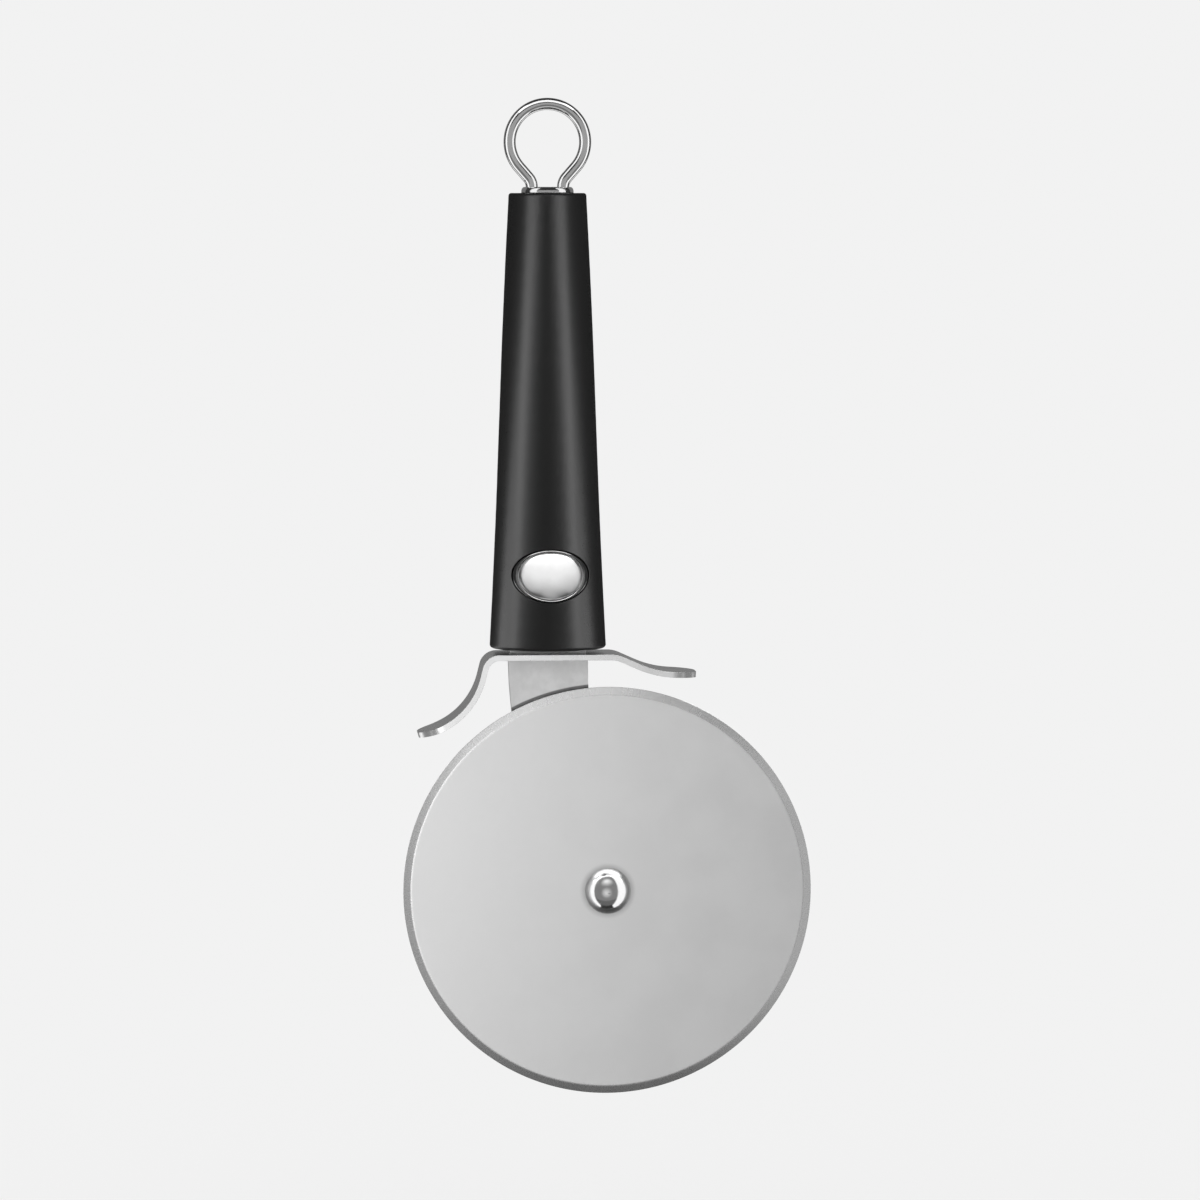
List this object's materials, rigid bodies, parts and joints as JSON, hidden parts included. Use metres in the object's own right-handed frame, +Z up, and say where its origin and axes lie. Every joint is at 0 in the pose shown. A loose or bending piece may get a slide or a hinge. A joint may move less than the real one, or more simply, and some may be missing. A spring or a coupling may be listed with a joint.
{
  "type": "pizza cutter wheel",
  "caption": "Pizza cutter with a bevelled steel wheel that spins on a domed rivet, a bent finger guard, a round black barrel grip and a wire hanging loop.",
  "frame": {"origin": "centre of the hanging loop's ring, where a hook holds the tool up", "axes": "+Z up along the handle's axis from the wheel to the loop; +X to the side to which the wheel is set over; the domed rivet head and the badge face -Y"},
  "size_m": [0.1024, 0.0291, 0.2489],
  "materials": {
    "grip_plastic": "satin moulded black",
    "core_plastic": "as moulded",
    "pin_steel": "ground",
    "ferrule_chrome": "polished",
    "loop_wire": "polished",
    "bezel_metal": "polished",
    "badge_metal": "fine satin",
    "guard_steel": "satin, brushed along the strip",
    "neck_steel": "satin",
    "wheel_steel": "satin, turned, with a ground bevel",
    "washer_nylon": "natural",
    "rivet_chrome": "mirror polished",
    "socket_steel": "polished"
  },
  "bodies": {
    "handle": {"grip": "grip_plastic", "grip_core": "core_plastic", "tang_pins": "pin_steel", "loop_ferrule": "ferrule_chrome", "hang_loop": "loop_wire", "badge_bezel": "bezel_metal", "badge": "badge_metal", "finger_guard": "guard_steel", "neck": "neck_steel", "spacer_washer": "washer_nylon", "axle_rivet": "rivet_chrome", "rivet_socket": "socket_steel"},
    "wheel": {"wheel": "wheel_steel"}
  },
  "joints": [
    {"name": "wheel_spin", "type": "hinge", "parent": "handle", "child": "wheel", "pos_m": [0.0148, -0.00265, -0.18685], "axis": [0, 1, 0], "continuous": true}
  ]
}
